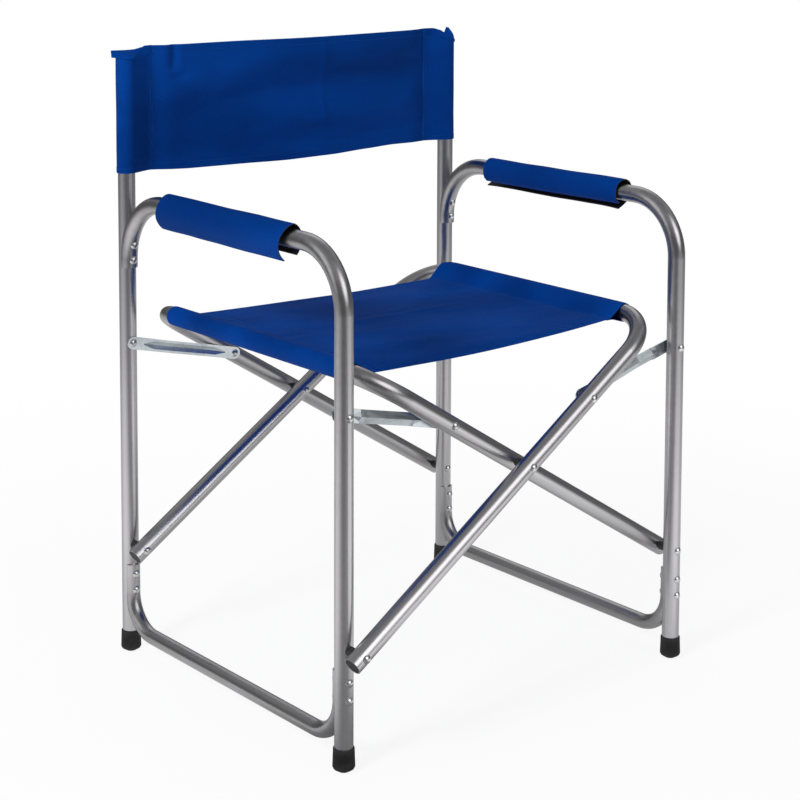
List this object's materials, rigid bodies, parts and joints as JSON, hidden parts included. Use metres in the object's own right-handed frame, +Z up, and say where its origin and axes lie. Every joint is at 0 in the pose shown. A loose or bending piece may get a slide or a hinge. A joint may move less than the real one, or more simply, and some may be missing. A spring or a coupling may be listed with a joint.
{
  "type": "folding director chair",
  "caption": "Folding director chair: tubular aluminium side frames and scissor seat hoops with pressed steel links, a canvas sling seat and back, and padded armrest covers.",
  "frame": {"origin": "on the floor, at the middle of the open chair", "axes": "+Z up, +Y to the back of the chair, +X to the right as the chair is seen from the front"},
  "size_m": [0.5698, 0.547, 0.786],
  "materials": {
    "tube_aluminium": "satin anodised",
    "link_steel": "zinc plated",
    "rivet_steel": "bright",
    "foot_rubber": "matte",
    "black_plastic": "matte",
    "blue_canvas": "woven polyester canvas"
  },
  "bodies": {
    "left_frame": {"left_rear_post": "tube_aluminium", "left_arm_tube": "tube_aluminium", "left_bottom_rail": "tube_aluminium", "left_feet": "foot_rubber", "left_post_cap": "black_plastic", "left_arm_rivets": "rivet_steel", "left_rail_rivets": "rivet_steel", "left_pivot_rivets": "rivet_steel", "left_pivot_spacers": "black_plastic", "left_link_rivets": "rivet_steel", "left_arm_cover": "blue_canvas", "left_back_sleeve": "blue_canvas", "back_panel": "blue_canvas"},
    "right_hoop": {"right_seat_hoop": "tube_aluminium", "right_hoop_plugs": "black_plastic", "right_seat_sleeve": "blue_canvas", "right_leg_rivets": "rivet_steel", "cross_rivets": "rivet_steel", "cross_spacers": "black_plastic", "seat_panel": "blue_canvas"},
    "left_hoop": {"left_seat_hoop": "tube_aluminium", "left_hoop_plugs": "black_plastic", "left_seat_sleeve": "blue_canvas", "left_leg_rivets": "rivet_steel"},
    "right_frame": {"right_rear_post": "tube_aluminium", "right_arm_tube": "tube_aluminium", "right_bottom_rail": "tube_aluminium", "right_feet": "foot_rubber", "right_post_cap": "black_plastic", "right_arm_rivets": "rivet_steel", "right_rail_rivets": "rivet_steel", "right_pivot_rivets": "rivet_steel", "right_pivot_spacers": "black_plastic", "right_link_rivets": "rivet_steel", "right_arm_cover": "blue_canvas", "right_back_sleeve": "blue_canvas"},
    "left_links": {"left_front_link": "link_steel", "left_rear_link": "link_steel", "left_link_buttons": "rivet_steel"},
    "right_links": {"right_front_link": "link_steel", "right_rear_link": "link_steel", "right_link_buttons": "rivet_steel"}
  },
  "joints": [
    {"name": "fold", "type": "hinge", "parent": "left_frame", "child": "right_hoop", "pos_m": [-0.266, 0, 0.143], "axis": [0, -1, 0], "range_deg": [0, 40], "deforming": ["seat_panel", "back_panel"]},
    {"name": "scissor", "type": "hinge", "parent": "right_hoop", "child": "left_hoop", "pos_m": [0, 0, 0.306], "axis": [0, -1, 0], "range_deg": [-80, 0]},
    {"name": "right_frame_pivot", "type": "hinge", "parent": "left_hoop", "child": "right_frame", "pos_m": [0.266, 0, 0.143], "axis": [0, -1, 0], "range_deg": [0, 40]},
    {"name": "left_link_swing", "type": "hinge", "parent": "left_frame", "child": "left_links", "pos_m": [-0.266, 0, 0.409], "axis": [0, -1, 0], "range_deg": [0, 80]},
    {"name": "right_link_swing", "type": "hinge", "parent": "right_frame", "child": "right_links", "pos_m": [0.266, 0, 0.409], "axis": [0, -1, 0], "range_deg": [-80, 0]}
  ],
  "couplings": [
    {"joint": "scissor", "follows": "fold", "ratio": -2},
    {"joint": "right_frame_pivot", "follows": "fold", "ratio": 1},
    {"joint": "left_link_swing", "follows": "fold", "ratio": 2},
    {"joint": "right_link_swing", "follows": "fold", "ratio": -2}
  ]
}
